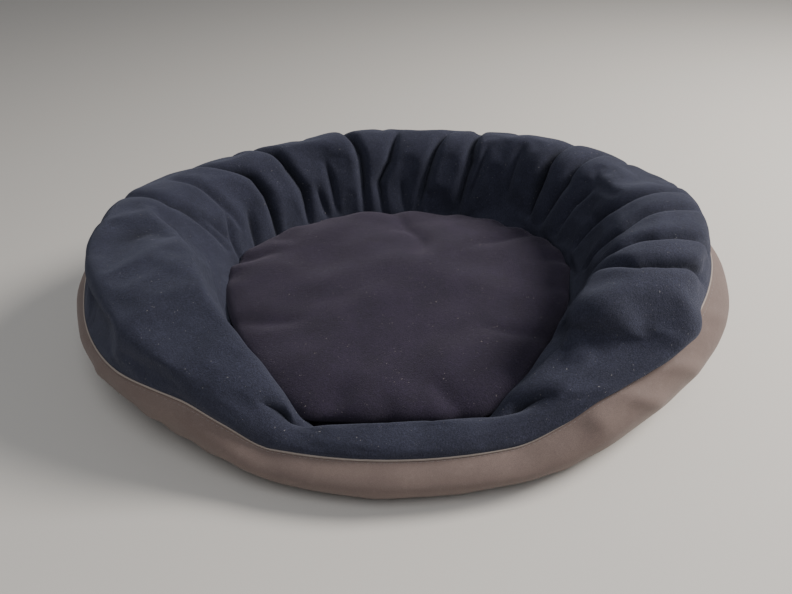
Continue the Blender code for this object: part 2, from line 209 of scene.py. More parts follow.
def ringObject(name, rows, closed=False, capped=False):
    # a surface of rows round the bed: closed joins the last row to the first, capped fills the last row
    rowCount, columnCount = rows.shape[:2]
    points = rows.reshape(-1, 3)
    faces = ringFaces(rowCount, columnCount)
    if closed:
        last = (rowCount - 1) * columnCount
        for column in range(columnCount):
            after = (column + 1) % columnCount
            faces.append((last + column, column, after, last + after))
    if capped:
        points = np.concatenate([points, rows[-1].mean(axis=0, keepdims=True)])
        last, middle = (rowCount - 1) * columnCount, len(points) - 1
        faces += [(last + column, middle, last + (column + 1) % columnCount) for column in range(columnCount)]
    thing = makeObject(name, points, faces)
    thing.data.shade_smooth()
    return thing


def thicken(thing, thickness):
    wall = thing.modifiers.new("cloth thickness", "SOLIDIFY")
    wall.thickness = thickness
    wall.offset = -1
    wall.use_even_offset = False
    wall.use_quality_normals = True
    return thing


def plainMesh(thing):
    # the object as its modifiers leave it, with no modifier on it
    evaluated = thing.evaluated_get(bpy.context.evaluated_depsgraph_get())
    mesh = bpy.data.meshes.new_from_object(evaluated)
    mesh.name = thing.name
    thing.modifiers.clear()
    thing.data = mesh
    return thing


def turnedOutwards(thing):
    shape = bmesh.new()
    shape.from_mesh(thing.data)
    bmesh.ops.remove_doubles(shape, verts=shape.verts, dist=weld)
    bmesh.ops.recalc_face_normals(shape, faces=shape.faces)
    shape.to_mesh(thing.data)
    shape.free()
    return thing


def settle(thing, body, slotName, finish, *nodes):
    thing.data.materials.clear()
    thing.data.materials.append(finish)
    if nodes:
        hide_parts(*nodes)
    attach(thing, body)
    return thing


# Cloth simulation: the cloth is cut to the rest rows, sewn down along its first and last rows,
# and pressed outwards by its filling

def pressedOut(start, rest, settings):
    rowCount, columnCount = start.shape[:2]
    cloth = makeObject("clothAtWork", start.reshape(-1, 3), ringFaces(rowCount, columnCount))
    cloth.shape_key_add(name="sewn")
    cut = cloth.shape_key_add(name="cut")
    cut.data.foreach_set("co", rest.reshape(-1))
    sewn = cloth.vertex_groups.new(name="sewn down")
    edge = list(range(columnCount)) + list(range((rowCount - 1) * columnCount, rowCount * columnCount))
    sewn.add(edge, 1.0, "REPLACE")
    work = cloth.modifiers.new("cloth", "CLOTH")
    feel = work.settings
    feel.quality = settings["quality"]
    feel.mass = settings["mass"]
    feel.air_damping = settings["airDamping"]
    feel.tension_stiffness = feel.compression_stiffness = settings["stretch"]
    feel.shear_stiffness = settings["shear"]
    feel.bending_stiffness = settings["bending"]
    feel.tension_damping = feel.compression_damping = feel.shear_damping = settings["damping"]
    feel.vertex_group_mass = "sewn down"
    feel.use_pressure = True
    feel.uniform_pressure_force = settings["pressure"]
    feel.effector_weights.gravity = 0
    feel.rest_shape_key = cut
    work.collision_settings.use_collision = False
    work.collision_settings.use_self_collision = False
    work.point_cache.frame_start = 1
    work.point_cache.frame_end = settings["frames"]
    for step in range(1, settings["frames"] + 1):
        bpy.context.scene.frame_set(step)
    evaluated = cloth.evaluated_get(bpy.context.evaluated_depsgraph_get())
    points = np.empty(rowCount * columnCount * 3)
    evaluated.data.vertices.foreach_get("co", points)
    bpy.context.scene.frame_set(1)
    bpy.data.objects.remove(cloth)
    return points.reshape(rowCount, columnCount, 3)


def pressedShape(piece, base, offsets, cut, settings, *smoothing):
    # the cloth drawn off its base surface, then pressed out, smoothed and given its final rows
    start = base + rowNormals(base) * offsets[..., None]
    start = pressedOut(start, cut, settings)
    return finerRows(smoothed(start, *smoothing), piece["finalRows"], piece["finalColumns"])


def flatCut(base, gather, leastRun=0.5, leastLean=0.2):
    # the cloth as it was cut, rolled into a cone so that its ends meet: every row is as long as its
    # place on the base surface times its gather, and every column as long as the base's section
    rowCount, columnCount = base.shape[:2]
    spacing = np.linalg.norm(np.roll(base, -1, axis=1) - base, axis=2) * gather
    steps = np.linalg.norm(np.diff(base, axis=0), axis=2)
    height = np.concatenate([np.zeros((1, columnCount)), np.cumsum(steps, axis=0)])
    height = height[rowCount // 2] - height
    rise = np.roll(height, -1, axis=1) - height
    spacing = np.sqrt(np.maximum(spacing ** 2 - rise ** 2, (leastRun * spacing) ** 2))
    length = spacing.sum(axis=1)
    angle = np.cumsum(spacing, axis=1) / length[:, None] * 2 * math.pi
    angle = np.concatenate([np.zeros((rowCount, 1)), angle[:, :-1]], axis=1)
    angle -= (angle - angle[:1]).mean(axis=1, keepdims=True)
    radius = length / (2 * math.pi)
    meanStep = steps.mean(axis=1)
    lean = np.sqrt(np.maximum(1 - (np.diff(radius) / meanStep) ** 2, leastLean))
    shrink = np.concatenate([[1], np.cumsum(lean * meanStep) / np.cumsum(meanStep)])
    return np.stack([radius[:, None] * np.sin(angle), -radius[:, None] * np.cos(angle),
                     height * shrink[:, None]], axis=-1)


def between(rows, row, column):
    # points of the surface at fractions of its rows and columns
    rowCount, columnCount = rows.shape[:2]
    low, left = np.clip(row.astype(int), 0, rowCount - 2), column.astype(int)
    down, along = (row - low)[:, None], (column - left)[:, None]
    left, right = left % columnCount, (left + 1) % columnCount
    upper = rows[low, left] * (1 - along) + rows[low, right] * along
    lower = rows[low + 1, left] * (1 - along) + rows[low + 1, right] * along
    return upper * (1 - down) + lower * down


denting = {"steps": 24, "reach": 4, "endFade": 0.12, "sharpness": 1.5}


def dented(base, turns, creases, width):
    # creases are lists of (turn in degrees, share of the section) with a depth in millimetres
    rowCount, columnCount = base.shape[:2]
    degrees = np.degrees(turns)
    dents = np.zeros((rowCount, columnCount))
    for depth, line in creases:
        places = []
        for (turnA, shareA), (turnB, shareB) in zip(line[:-1], line[1:]):
            for t in np.linspace(0, 1, denting["steps"], endpoint=False):
                places.append((turnA + (turnB - turnA) * t, shareA + (shareB - shareA) * t))
        places.append(line[-1])
        places = np.array(places)
        column = np.interp(places[:, 0] % 360, np.append(degrees, 360), np.arange(columnCount + 1))
        row = places[:, 1] * (rowCount - 1)
        points = between(base, row, column)
        fade = np.sqrt(np.sin(np.linspace(denting["endFade"], math.pi - denting["endFade"], len(points))))
        reach = denting["reach"] * width
        low, high = points.min(axis=0) - reach, points.max(axis=0) + reach
        close = np.all((base > low) & (base < high), axis=2)
        near = np.linalg.norm(base[close][:, None, :] - points[None], axis=2)
        dent = (depth * mm * fade * np.exp(-(near / width) ** denting["sharpness"])).max(axis=1)
        dents[close] = np.maximum(dents[close], dent)
    return dents


# Camera, lights and floor

camera = {
    "place": (0.0259, -0.5804, 0.444),
    "yaw": math.radians(2.783), "pitch": math.radians(35.33), "roll": math.radians(-2.58),
    "lens": 27.73,
}
lights = {
    "sky": (0.92, 0.95, 1.0), "skyStrength": 0.25,
    "key": {"place": (1.70, 0.18, 1.40), "size": 0.8, "power": 66, "colour": (1.0, 0.965, 0.92)},
    "fill": {"place": (0.35, -1.15, 2.15), "size": 1.3, "power": 20, "colour": (0.93, 0.96, 1.0)},
    "aim": (0, 0, 0.05),
}
floorPlane = {"half": 15, "colour": (0.58, 0.55, 0.51, 1), "roughness": 0.75}


def setCamera():
    data = bpy.data.cameras.new("camera")
    data.lens = camera["lens"]
    data.sensor_width = 36
    data.clip_start = 0.01
    eye = bpy.data.objects.new("camera", data)
    look = (Matrix.Rotation(camera["yaw"], 4, "Z") @ Matrix.Rotation(math.pi / 2 - camera["pitch"], 4, "X")
            @ Matrix.Rotation(camera["roll"], 4, "Z"))
    eye.matrix_world = Matrix.Translation(camera["place"]) @ look
    bpy.context.scene.collection.objects.link(eye)
    bpy.context.scene.camera = eye


def areaLight(name, place, size, power, colour):
    data = bpy.data.lights.new(name, "AREA")
    data.shape = "DISK"
    data.size = size
    data.energy = power
    data.color = colour
    lamp = bpy.data.objects.new(name, data)
    lamp.location = place
    lamp.rotation_euler = (Vector(lights["aim"]) - Vector(place)).to_track_quat("-Z", "Y").to_euler()
    bpy.context.scene.collection.objects.link(lamp)


def studio():
    world = bpy.data.worlds.new("studio")
    world.use_nodes = True
    world.node_tree.nodes["Background"].inputs["Color"].default_value = (*lights["sky"], 1)
    world.node_tree.nodes["Background"].inputs["Strength"].default_value = lights["skyStrength"]
    bpy.context.scene.world = world
    areaLight("keyLight", **lights["key"])
    areaLight("fillLight", **lights["fill"])
    half = floorPlane["half"]
    corners = [(-half, -half, 0), (half, -half, 0), (half, half, 0), (-half, half, 0)]
    floor = makeObject("paleFloor", corners, [(0, 1, 2, 3)])
    material = bpy.data.materials.new("paleFloor")
    material.use_nodes = True
    shader = material.node_tree.nodes["Principled BSDF"]
    shader.inputs["Base Color"].default_value = floorPlane["colour"]
    shader.inputs["Roughness"].default_value = floorPlane["roughness"]
    floor.data.materials.append(material)


setCamera()
studio()
print("camera, lights and floor are set")


def addNode(tree, kind, settings={}, inputs={}):
    made = tree.nodes.new(kind)
    for name, value in settings.items():
        setattr(made, name, value)
    for key, value in inputs.items():
        if isinstance(value, bpy.types.NodeSocket):
            tree.links.new(value, made.inputs[key])
        else:
            made.inputs[key].default_value = value
    return made


# Finishes

class Value:
    # one socket, with the sums that the finishes use
    def __init__(self, finish, socket):
        self.finish = finish
        self.socket = socket

    def worked(self, operation, other, swapped=False):
        first, second = (other, self) if swapped else (self, other)
        return self.finish.node("ShaderNodeMath", {"operation": operation}, {0: first, 1: second})

    def __add__(self, other):
        return self.worked("ADD", other)

    def __mul__(self, other):
        return self.worked("MULTIPLY", other)

    def __sub__(self, other):
        return self.worked("SUBTRACT", other)

    def __rsub__(self, other):
        return self.worked("SUBTRACT", other, True)

    __radd__ = __add__
    __rmul__ = __mul__


class Finish:
    def __init__(self, name, **constants):
        self.material = bpy.data.materials.new(name)
        self.material.use_nodes = True
        self.tree = self.material.node_tree
        self.shader = self.tree.nodes["Principled BSDF"]
        for socket, value in constants.items():
            self.shader.inputs[socket.replace("_", " ")].default_value = value
        self.place = self.node("ShaderNodeTexCoord", output="Object")

    def node(self, kind, settings={}, inputs={}, output=0):
        plain = {key: value.socket if isinstance(value, Value) else value for key, value in inputs.items()}
        return Value(self, addNode(self.tree, kind, settings, plain).outputs[output])

    def noise(self, scale, detail=3, roughness=0.5, place=None, distortion=0.0):
        return self.node("ShaderNodeTexNoise", {}, {
            "Vector": place or self.place, "Scale": scale, "Detail": detail,
            "Roughness": roughness, "Distortion": distortion}, "Fac")

    def spread(self, value, low, high):
        # 0 below low, 1 above high, smooth between
        return self.node("ShaderNodeMapRange", {"interpolation_type": "SMOOTHSTEP"}, {
            "Value": value, "From Min": low, "From Max": high}, "Result")

    def mix(self, share, first, second, blend="MIX"):
        inputs = {0: share, 6: first, 7: second}
        return self.node("ShaderNodeMix", {"data_type": "RGBA", "blend_type": blend}, inputs, 2)

    def stretched(self, scale):
        return self.node("ShaderNodeMapping", {}, {"Vector": self.place, "Scale": scale}, "Vector")

    def raised(self, height, distance, strength=1.0, under=None):
        inputs = {"Height": height, "Distance": distance, "Strength": strength}
        if under:
            inputs["Normal"] = under
        return self.node("ShaderNodeBump", {}, inputs, "Normal")

    def shaded(self, colour, grain):
        grey = self.node("ShaderNodeCombineColor", {}, {"Red": grain, "Green": grain, "Blue": grain})
        return self.mix(1.0, colour, grey, "MULTIPLY")

    def give(self, **links):
        for socket, value in links.items():
            self.tree.links.new(value.socket, self.shader.inputs[socket.replace("_", " ")])
        return self.material


def rgb(red, green, blue):
    # a colour as a screen shows it, from 0 to 255, to the renderer's linear one
    scaled = [part / 255 for part in (red, green, blue)]
    return (*[part / 12.92 if part < 0.04045 else ((part + 0.055) / 1.055) ** 2.4 for part in scaled], 1)


def fleeceFinish(name, tones, sheen):
    # brushed fleece: clumped pile, brushed patches and pale lint, and painted shade in its folds; tones
    # are dark, middle, light and lint
    finish = Finish(name, Roughness=0.92, Sheen_Weight=sheen["weight"], Sheen_Roughness=sheen["roughness"],
                    Sheen_Tint=sheen["tint"], Specular_IOR_Level=0.18)
    patches = finish.noise(26, 4, 0.6)
    # the fold attribute, which says where painted shade darkens the fleece
    paintedFoldShade = finish.node("ShaderNodeAttribute", {"attribute_name": "fold"}, output="Fac")
    clumps = finish.noise(210, 4, 0.65, distortion=0.6)
    fibres = finish.noise(760, 4, 0.75)
    streaks = finish.noise(300, 5, 0.75, finish.stretched((1.0, 1.0, 0.35)), 1.6)
    colour = finish.mix(finish.spread(patches, 0.36, 0.66), rgb(*tones[0]), rgb(*tones[1]))
    colour = finish.mix(finish.spread(clumps, 0.50, 0.74) * 0.28, colour, rgb(*tones[2]))
    colour = finish.mix(finish.spread(streaks, 0.54, 0.74) * 0.42, colour, rgb(*tones[2]))
    # the fibre grain, darkened by painted shade where the fold attribute is high
    grain = (finish.spread(fibres, 0.34, 0.66) * 0.66 + 0.68) * (1 - paintedFoldShade * 0.66)
    colour = finish.shaded(colour, grain)
    lint = finish.spread(finish.noise(520, 2, 0.5), 0.70, 0.75)
    lint = lint * finish.spread(finish.noise(70, 2), 0.42, 0.62)
    colour = finish.mix(lint * 0.45, colour, rgb(*tones[3]))
    roughness = finish.spread(clumps, 0.3, 0.7) * 0.14 + 0.84
    pile = finish.raised(clumps, 0.0009, 0.45)
    pile = finish.raised(streaks, 0.0009, 0.55, pile)
    pile = finish.raised(fibres, 0.0006, 0.9, pile)
    return finish.give(Base_Color=colour, Roughness=roughness, Normal=pile)


def suedeFinish(name, tones):
    # smooth suede-like cloth: a fine nap with rubbed patches and a faint close weave
    finish = Finish(name, Roughness=0.85, Sheen_Weight=0.12, Sheen_Roughness=0.5,
                    Sheen_Tint=(1.0, 0.90, 0.84, 1), Specular_IOR_Level=0.25)
    rubbed = finish.noise(17, 4, 0.6)
    mottle = finish.noise(130, 4, 0.6, distortion=0.4)
    nap = finish.noise(1900, 2, 0.6)
    colour = finish.mix(finish.spread(rubbed, 0.34, 0.68), rgb(*tones[0]), rgb(*tones[1]))
    colour = finish.mix(finish.spread(mottle, 0.50, 0.74) * 0.3, colour, rgb(*tones[2]))
    grain = finish.spread(nap, 0.28, 0.72) * 0.32 + 0.84
    colour = finish.shaded(colour, grain)
    roughness = finish.spread(rubbed, 0.3, 0.7) * 0.16 + 0.74
    surface = finish.raised(mottle, 0.00035, 0.35)
    surface = finish.raised(nap, 0.00016, 0.6, surface)
    return finish.give(Base_Color=colour, Roughness=roughness, Normal=surface)


def wovenFinish(name, dark, light, spacing, depth):
    # plain woven tape: two crossed sets of ribs and a little colour drift
    finish = Finish(name, Roughness=0.7, Sheen_Weight=0.15, Specular_IOR_Level=0.3)
    # the wave texture's phase grows by twenty times its scale over a metre
    scale = 2 * math.pi / spacing / 20
    inputs = {"Vector": finish.place, "Scale": scale, "Distortion": 0.4, "Detail": 1}
    ribs, crossed = (finish.node("ShaderNodeTexWave", {"bands_direction": bands}, inputs, "Fac")
                     for bands in ("X", "Y"))
    weave = ribs * crossed
    drift = finish.noise(60, 3)
    colour = finish.mix(weave * 0.6 + drift * 0.3, rgb(*dark), rgb(*light))
    surface = finish.raised(weave, depth, 0.6)
    return finish.give(Base_Color=colour, Roughness=drift * 0.2 + 0.6, Normal=surface)


def threadFinish(name, dark, light):
    # twisted thread, its turns along the stitch
    finish = Finish(name, Roughness=0.6, Sheen_Weight=0.2)
    twist = finish.noise(1600, 2, 0.5, distortion=1.0)
    colour = finish.mix(finish.spread(twist, 0.35, 0.65), rgb(*dark), rgb(*light))
    surface = finish.raised(twist, 0.0002, 0.5)
    return finish.give(Base_Color=colour, Roughness=twist * 0.3 + 0.5, Normal=surface)


def foamFinish(name, dark, light):
    # open-cell foam: small pores cut in a soft block
    finish = Finish(name, Roughness=0.95)
    pores = finish.node("ShaderNodeTexVoronoi", {}, {"Vector": finish.place, "Scale": 620}, "Distance")
    drift = finish.noise(22, 3)
    colour = finish.mix(finish.spread(pores, 0.05, 0.45) * 0.8 + drift * 0.2, rgb(*dark), rgb(*light))
    surface = finish.raised(pores, 0.0009, 0.8)
    return finish.give(Base_Color=colour, Roughness=drift * 0.1 + 0.85, Normal=surface)


def fibreFinish(name, dark, light):
    # loose polyester fibre: soft curled strands
    finish = Finish(name, Roughness=0.9, Sheen_Weight=0.3, Sheen_Roughness=0.5)
    strands = finish.noise(160, 6, 0.7, distortion=3.0)
    lumps = finish.noise(30, 3)
    colour = finish.mix(finish.spread(strands, 0.3, 0.7), rgb(*dark), rgb(*light))
    surface = finish.raised(strands, 0.0012, 0.8, finish.raised(lumps, 0.004, 0.4))
    return finish.give(Base_Color=colour, Roughness=lumps * 0.1 + 0.85, Normal=surface)


def metalFinish(name, tone, worn):
    # plated zinc: bright, brushed a little and dulled where it is handled
    finish = Finish(name, Metallic=1.0, Roughness=0.3)
    handled = finish.noise(320, 4, 0.6)
    brushed = finish.noise(900, 2, 0.5, finish.stretched((0.12, 1.0, 1.0)))
    colour = finish.mix(finish.spread(handled, 0.45, 0.7), rgb(*tone), rgb(*worn))
    roughness = finish.spread(handled, 0.35, 0.7) * 0.18 + brushed * 0.12 + 0.2
    return finish.give(Base_Color=colour, Roughness=roughness, Normal=finish.raised(brushed, 0.00004, 0.5))


def coilFinish(name, dark, light):
    # moulded nylon coil, faintly translucent and slightly mottled
    finish = Finish(name, Roughness=0.4, Coat_Weight=0.1)
    drift = finish.noise(240, 3)
    colour = finish.mix(drift, rgb(*dark), rgb(*light))
    surface = finish.raised(drift, 0.0001, 0.4)
    return finish.give(Base_Color=colour, Roughness=drift * 0.2 + 0.32, Normal=surface)


wallFleeceFinish = fleeceFinish(
    "brushedFleeceNavy", [(37, 38, 50), (43, 44, 57), (61, 62, 78), (168, 162, 158)],
    {"weight": 0.13, "roughness": 0.6, "tint": (0.62, 0.66, 0.86, 1)})
cushionFleeceFinish = fleeceFinish(
    "brushedFleecePlum", [(31, 26, 38), (36, 30, 44), (56, 48, 65), (172, 162, 156)],
    {"weight": 0.13, "roughness": 0.6, "tint": (0.74, 0.66, 0.82, 1)})
suedeClothFinish = suedeFinish("suedeTaupe", [(106, 91, 86), (114, 99, 93), (124, 109, 103)])
tapeFinish = wovenFinish("wovenTape", (30, 29, 36), (54, 52, 62), 0.0008, 0.00012)
pipingFinish = wovenFinish("wovenPiping", (136, 124, 116), (172, 160, 150), 0.0009, 0.00010)
seamThreadFinish = threadFinish("seamThread", (98, 86, 82), (126, 113, 107))
foamBlockFinish = foamFinish("openCellFoam", (188, 176, 140), (226, 218, 190))
fibreFillFinish = fibreFinish("looseFibre", (198, 198, 200), (236, 236, 238))
zincFinish = metalFinish("platedZinc", (176, 176, 180), (120, 118, 120))
nylonCoilFinish = coilFinish("nylonCoil", (28, 27, 33), (46, 44, 54))
print("finishes are ready")


# The wall of the bed: a fleece sleeve gathered round its filling, sewn to the outer band at the rim

wall = {
    "seam": (0.323, 0.250, 0.246),
    "seamPush": [(0, 0), (250, 0), (280, 6), (300, 12), (312, 12), (328, 3), (345, 0)],
    "seamHeight": [(0, .047), (18, .047), (26, .060), (33, .077), (48, .090), (62, .100), (80, .112),
                   (130, .116), (180, .117), (230, .116), (275, .108), (292, .090), (305, .080), (318, .083),
                   (327, .080), (334, .066), (342, .047)],
    "crestHeight": [(0, .062), (16, .063), (26, .071), (31, .084), (38, .096), (44, .114), (49, .141),
                    (57, .154), (70, .158), (90, .160), (112, .152), (140, .154), (180, .151),
                    (210, .151), (228, .149), (245, .153), (270, .160), (294, .156), (308, .143),
                    (320, .124), (330, .102), (336, .080), (340, .066), (344, .062)],
    "shoulder": [(0, 0.0), (16, -0.03), (26, -0.05), (34, -0.075), (43, -0.11), (50, -0.14), (57, -0.02),
                 (68, 0.05), (100, 0.04), (130, -0.02), (180, -0.025), (250, -0.01), (276, 0.06),
                 (300, 0.075), (315, 0.02), (328, -0.01), (344, -0.02)],
    "shoulderRise": [(0, 0.42), (40, 0.36), (52, 0.30), (66, 0.38), (90, 0.42), (180, 0.42), (300, 0.40),
                     (320, 0.42)],
    "rimRise": [(0, 0.84), (32, 0.82), (41, 0.64), (47, 0.62), (54, 0.78), (62, 0.84), (340, 0.84)],
    "section": [(0.0, 0.0), (-0.025, 0.42), (0.14, 0.84), (0.44, 1.0), (0.70, 0.90), (0.90, 0.62),
                (0.992, 0.30), (1.0, 0.0)],
    # how much fuller the arms are on their inner side, and what that adds to a section row's share and rise
    "plump": [(0, 0.0), (14, 0.0), (24, 0.6), (48, 0.6), (62, 0.0), (276, 0.0), (298, 1.4), (326, 1.4),
              (341, 0.0)],
    "plumper": {4: (0.06, 0.03), 5: (0.035, 0.08), 6: (0.006, 0.05)},
    "rowsUp": 4, "foot": 0.0145, "cloth": 1.6,
    "columns": 540, "rows": 62, "finalColumns": 600, "finalRows": 80,
    "creaseWidth": 0.0050, "creaseDepth": 1.15, "uneven": ((1.6, 0.11, 4), (0.7, 0.045, 9)),
    # the crease depth, in millimetres, at which the painted shade in the folds is full
    "stillAtRim": 0.10, "stillAtFoot": 0.06, "smoothing": (1, 0.4), "foldShadeDepth": 13,
}
# how much longer than its place the cloth was cut, round the bed and down the section
gather = {
    "round": [(0, 1.04), (30, 1.04), (46, 1.08), (60, 1.2), (90, 1.28), (120, 1.32), (180, 1.30), (230, 1.32),
              (262, 1.22), (285, 1.05), (330, 1.03)],
    "down": [(0.0, 0.25), (0.15, 0.7), (0.45, 1.0), (0.8, 1.15), (1.0, 1.1)],
}
# folds of the fleece: depth in millimetres, then points of turn and share of the way from rim to foot
folds = [
    (9, [(261, 0.16), (267, 0.43), (264, 0.57), (261, 0.75)]),
    (8, [(252, 0.30), (250, 0.45), (249, 0.55), (247, 0.70)]),
    (5, [(265, 0.50), (260, 0.62), (256, 0.74)]),
    (8, [(250, 0.60), (254, 0.72), (256, 0.87)]),
    (8, [(240, 0.63), (242, 0.78), (244, 0.90)]),
    (16, [(239, 0.16), (235, 0.30), (230, 0.45), (229, 0.58), (230, 0.73), (231, 0.88)]),
    (16, [(220, 0.12), (217, 0.30), (217, 0.45), (215, 0.60), (216, 0.82)]),
    (7, [(210, 0.61), (208, 0.80)]),
    (6, [(204, 0.46), (204, 0.77)]),
    (16, [(195, 0.14), (193, 0.32), (192, 0.45), (193, 0.82)]),
    (13, [(180, 0.24), (183, 0.47), (187, 0.60), (186, 0.84)]),
    (6, [(179, 0.61), (178, 0.80)]),
    (14, [(166, 0.22), (169, 0.48), (173, 0.82)]),
    (5, [(170, 0.62), (169, 0.80)]),
    (16, [(159, 0.14), (156, 0.48), (158, 0.82)]),
    (7, [(152, 0.40), (153, 0.58), (155, 0.76)]),
    (6, [(141, 0.38), (140, 0.68)]),
    (16, [(133, 0.18), (129, 0.50), (128, 0.74)]),
    (12, [(123, 0.22), (119, 0.50), (120, 0.75)]),
    (8, [(107, 0.48), (110, 0.58), (110, 0.76)]),
    (13, [(92, 0.22), (87, 0.48), (92, 0.60), (93, 0.74)]),
    (13, [(83, 0.18), (76, 0.40), (72, 0.48), (75, 0.72)]),
    (15, [(74, 0.06), (66, 0.33), (65, 0.40), (63, 0.47), (65, 0.62)]),
    (15, [(66, 0.03), (58, 0.28), (56, 0.37), (58, 0.62)]),
    (14, [(29, 0.28), (26, 0.42), (23, 0.62), (21, 0.80)]),
    (15, [(336, 0.32), (340, 0.44), (342, 0.62), (343, 0.80)]),
    (4, [(244, 0.04), (240, 0.22)]), (4, [(226, 0.03), (224, 0.20)]), (4, [(205, 0.03), (206, 0.2)]),
    (4, [(186, 0.03), (184, 0.2)]), (4, [(168, 0.03), (170, 0.2)]), (4, [(147, 0.03), (148, 0.22)]),
    (4, [(118, 0.03), (116, 0.2)]), (4, [(98, 0.03), (96, 0.22)]), (4, [(274, 0.03), (276, 0.2)]),
]
# the right arm ends in a blunt horn: its end stands forward over the low part of the arm
horn = {"turn": 48.0, "width": 4.6, "forward": 19.0, "height": (0.088, 0.130), "from": (0.02, 0.12),
        "until": (0.45, 0.75)}
wallSimulation = {"quality": 5, "mass": 0.25, "airDamping": 4, "stretch": 30, "shear": 12, "bending": 0.45,
                  "damping": 12, "pressure": 3.6, "frames": 28}


def seamOutline(turns):
    return outsetBy(ovalOutline(turns, *wall["seam"]), throughStations(wall["seamPush"], turns) * mm)


def wallBase(turns):
    seam, foot = seamOutline(turns), hollowOutline(turns)
    seamZ = throughStations(wall["seamHeight"], turns)
    crestZ = throughStations(wall["crestHeight"], turns)
    plump = throughStations(wall["plump"], turns)
    rows = []
    for number, (share, rise) in enumerate(wall["section"]):
        share, rise = np.full(len(turns), share), np.full(len(turns), rise)
        if number == 1:
            share = throughStations(wall["shoulder"], turns)
            rise = throughStations(wall["shoulderRise"], turns)
        if number == 2:
            rise = throughStations(wall["rimRise"], turns)
        inward, up = wall["plumper"].get(number, (0, 0))
        share, rise = share + inward * plump, rise + up * plump
        plan = seam + (foot - seam) * share[:, None]
        low = seamZ if number < wall["rowsUp"] else np.full(len(turns), wall["foot"])
        rows.append(standing(plan, low + (crestZ - low) * rise))
    return smoothRows(np.array(rows), wall["rows"])


def hornForward(rows, turns):
    ahead = np.roll(rows, 1, axis=1) - np.roll(rows, -1, axis=1)
    ahead[..., 2] = 0
    ahead /= np.linalg.norm(ahead, axis=2, keepdims=True) + 1e-9
    shares = np.linspace(0, 1, len(rows))[:, None]
    place = bump(horn["turn"], horn["width"], np.degrees(turns))[None, :]
    place = place * smoothStep(*horn["height"], rows[..., 2])
    place = place * smoothStep(*horn["from"], shares) * (1 - smoothStep(*horn["until"], shares))
    return rows + ahead * (place * horn["forward"] * mm)[..., None]


def wallTurns(count):
    return evenTurns(lambda turns: (seamOutline(turns) + hollowOutline(turns)) / 2, count)


def makeWallFleece():
    turns = wallTurns(wall["columns"])
    base = hornForward(wallBase(turns), turns)
    shares = np.linspace(0, 1, wall["rows"])
    down = np.interp(shares, *zip(*gather["down"]))
    extra = 1 + (throughStations(gather["round"], turns)[None, :] - 1) * down[:, None]
    edges = np.minimum(smoothStep(0, wall["stillAtRim"], shares),
                       smoothStep(0, wall["stillAtFoot"], 1 - shares))
    dents = dented(base, turns, folds, wall["creaseWidth"]) * wall["creaseDepth"]
    offsets = (uneven(base, *wall["uneven"]) - dents) * edges[:, None]
    rows = pressedShape(wall, base, offsets, flatCut(base, extra), wallSimulation, *wall["smoothing"])
    return base, rows


def markPaintedFoldShade(thing, base, rows, depth, reach=12, least=0.35):
    # how far each point lies in a fold, from 0 on the open cloth to 1 at the bottom, for painted shade
    away = ((rows - base) * rowNormals(base)).sum(axis=2)
    highest = away.copy()
    for step in range(1, reach + 1):
        highest = np.maximum(highest, np.maximum(np.roll(away, step, axis=1), np.roll(away, -step, axis=1)))
    sunk = smoothStep(least, 1.0, (highest - away) / (depth * mm))
    values = np.zeros(len(thing.data.vertices))
    values[:sunk.size] = sunk.reshape(-1)
    # kept as the fold attribute, by which the fleece finish paints shade in the creases
    mark = thing.data.attributes.new("fold", "FLOAT", "POINT")
    mark.data.foreach_set("value", values)


wallBaseRows, wallRows = makeWallFleece()
wallFleece = ringObject("wallFleeceCover", wallRows)
wallBaseFine = finerRows(wallBaseRows, wall["finalRows"], wall["finalColumns"])
# the fold attribute, for the painted shade in the fleece's creases
markPaintedFoldShade(wallFleece, wallBaseFine, wallRows, wall["foldShadeDepth"])
thicken(wallFleece, wall["cloth"] * mm)
settle(wallFleece, "bed", "wall_fleece", wallFleeceFinish, "inner_wall_cover")
print("wall fleece is sewn, filled and gathered")


# What is inside the wall: loose fibre under the fleece and a foam strip behind the outer band

def lofted(name, sections, first=0, last=None):
    # a solid whose closed sections follow the bed; first and last are columns, and the ends are closed
    pointCount, columnCount = sections.shape[:2]
    whole = last is None
    columns = list(range(columnCount)) if whole else [c % columnCount for c in range(first, last)]
    rows = sections[:, columns]
    count = len(columns)
    points = rows.transpose(1, 0, 2).reshape(-1, 3)
    faces = []
    for column in range(count if whole else count - 1):
        after = (column + 1) % count
        for point in range(pointCount):
            beside = (point + 1) % pointCount
            faces.append((column * pointCount + point, column * pointCount + beside,
                          after * pointCount + beside, after * pointCount + point))
    if not whole:
        for column, flip in ((0, True), (count - 1, False)):
            points = np.concatenate([points, rows[:, column].mean(axis=0, keepdims=True)])
            for point in range(pointCount):
                edge = (column * pointCount + point, column * pointCount + (point + 1) % pointCount)
                faces.append((*(edge[::-1] if flip else edge), len(points) - 1))
    thing = makeObject(name, points, faces)
    thing.data.shade_smooth()
    return turnedOutwards(thing)


# in millimetres, apart from counts and turns
stuffing = {
    "columns": 230, "rows": 24, "firstRow": 6, "lastRow": 4, "underCover": 7.0, "besideFold": (7, 3),
    "behindFoam": 30, "underSeam": 14, "offFloor": 6, "outsideFoot": 7, "sillHalfTurn": 33, "gapTurn": 3,
    "foamThickness": 22.0, "foamUnderBand": 4.0, "foamShares": (0.12, 0.93, 7),
    "foamTurns": {"wall": (58, 302), "sill": (332, 28)}, "foamFill": 0.9,
    "fibreFill": {"wall": 0.8, "sill": 0.6},
}


